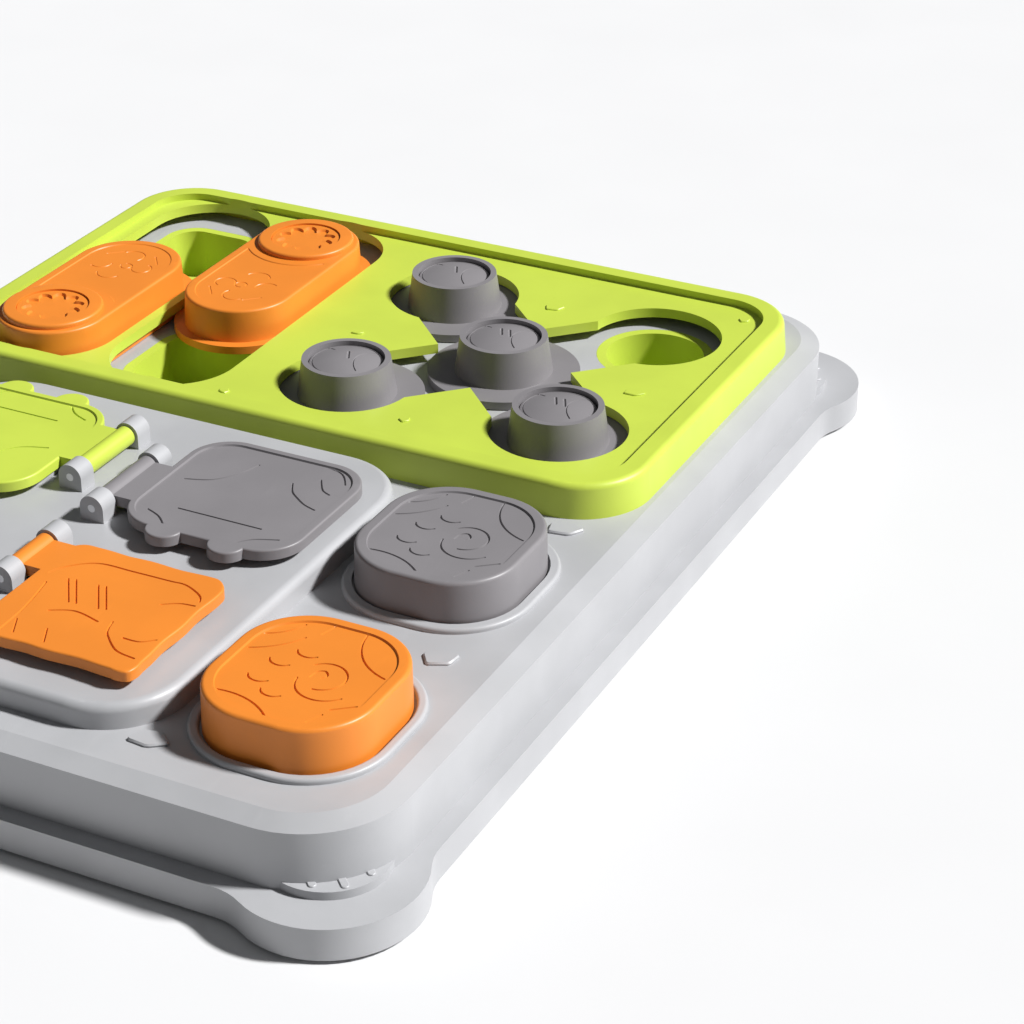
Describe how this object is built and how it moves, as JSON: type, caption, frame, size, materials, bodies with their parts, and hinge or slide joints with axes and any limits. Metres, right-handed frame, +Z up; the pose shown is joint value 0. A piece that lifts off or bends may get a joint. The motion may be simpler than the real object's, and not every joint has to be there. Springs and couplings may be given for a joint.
{
  "type": "dog puzzle feeder",
  "caption": "Flat moulded treat board with sliding knobs and sliders, flip-up lids and lift-off blocks, each over a treat well.",
  "frame": {"origin": "on the floor, under the middle of the board's outline", "axes": "+X to the right, +Y to the back with the slide tray, +Z up"},
  "size_m": [0.347, 0.441, 0.0582],
  "materials": {
    "base_grey": "smooth matte, light cool grey",
    "lime": "smooth matte, lime green",
    "orange": "smooth matte, orange",
    "dark_grey": "smooth matte, dark grey",
    "steel": "plain zinc-plated steel",
    "rubber": "soft matte anti-slip pad"
  },
  "bodies": {
    "board": {"base_shell": "base_grey", "bottom_cover": "base_grey", "cover_screws": "steel", "tray_screws": "steel", "slide_tray": "lime", "rubber_foot_1": "rubber", "rubber_foot_2": "rubber", "rubber_foot_3": "rubber", "rubber_foot_4": "rubber", "rubber_foot_5": "rubber", "rubber_foot_6": "rubber", "round_cup_back_left": "lime", "round_cup_front_left": "lime", "round_cup_middle": "lime", "round_cup_front_right": "lime", "round_cup_back_right": "lime", "lane_cup_left_front": "lime", "lane_cup_left_back": "lime", "lane_cup_right_front": "lime", "lane_cup_right_back": "lime", "hinge_pin_back_right": "steel", "hinge_pin_front_right": "steel", "hinge_pin_back_left": "steel", "hinge_pin_front_left": "steel"},
    "lid_back_right": {"lid_back_right": "dark_grey"},
    "lid_front_right": {"lid_front_right": "orange"},
    "lid_back_left": {"lid_back_left": "lime"},
    "lid_front_left": {"lid_front_left": "dark_grey"},
    "knob_back_left": {"knob_back_left": "dark_grey", "knob_cap_back_left": "dark_grey"},
    "knob_front_left": {"knob_front_left": "dark_grey", "knob_cap_front_left": "dark_grey"},
    "knob_middle": {"knob_middle": "dark_grey", "knob_cap_middle": "dark_grey"},
    "knob_front_right": {"knob_front_right": "dark_grey", "knob_cap_front_right": "dark_grey"},
    "slider_left": {"slider_left": "orange", "slider_plate_left": "orange", "slider_screws_left": "steel"},
    "slider_right": {"slider_right": "orange", "slider_plate_right": "orange", "slider_screws_right": "steel"},
    "block_front": {"lift_block_front": "orange"},
    "block_back": {"lift_block_back": "dark_grey"}
  },
  "joints": [
    {"name": "lid_back_right_hinge", "type": "hinge", "parent": "board", "child": "lid_back_right", "pos_m": [-0.01, -0.065, 0.0505], "axis": [0, -1, 0], "range_deg": [0, 95]},
    {"name": "lid_front_right_hinge", "type": "hinge", "parent": "board", "child": "lid_front_right", "pos_m": [-0.01, -0.1237, 0.0505], "axis": [0, -1, 0], "range_deg": [0, 95]},
    {"name": "lid_back_left_hinge", "type": "hinge", "parent": "board", "child": "lid_back_left", "pos_m": [-0.03, -0.049, 0.0505], "axis": [0, 1, 0], "range_deg": [0, 95]},
    {"name": "lid_front_left_hinge", "type": "hinge", "parent": "board", "child": "lid_front_left", "pos_m": [-0.03, -0.1623, 0.0505], "axis": [0, 1, 0], "range_deg": [0, 95]},
    {"name": "knob_middle_slide", "type": "slide", "parent": "board", "child": "knob_middle", "axis": [0.7071, 0.7071, 0], "range_m": [0, 0.0636]},
    {"name": "knob_back_left_slide", "type": "slide", "parent": "board", "child": "knob_back_left", "axis": [0.7071, -0.7071, 0], "range_m": [0, 0.003]},
    {"name": "knob_front_left_slide", "type": "slide", "parent": "board", "child": "knob_front_left", "axis": [0.7071, 0.7071, 0], "range_m": [0, 0.003]},
    {"name": "knob_front_right_slide", "type": "slide", "parent": "board", "child": "knob_front_right", "axis": [-0.7071, 0.7071, 0], "range_m": [0, 0.003]},
    {"name": "slider_left_slide", "type": "slide", "parent": "board", "child": "slider_left", "axis": [0, 1, 0], "range_m": [0, 0.065]},
    {"name": "slider_right_slide", "type": "slide", "parent": "board", "child": "slider_right", "axis": [0, 1, 0], "range_m": [-0.05, 0.014]},
    {"name": "block_front_lift", "type": "slide", "parent": "board", "child": "block_front", "axis": [0, 0, 1], "range_m": [0, 0.04]},
    {"name": "block_back_lift", "type": "slide", "parent": "board", "child": "block_back", "axis": [0, 0, 1], "range_m": [0, 0.04]}
  ]
}
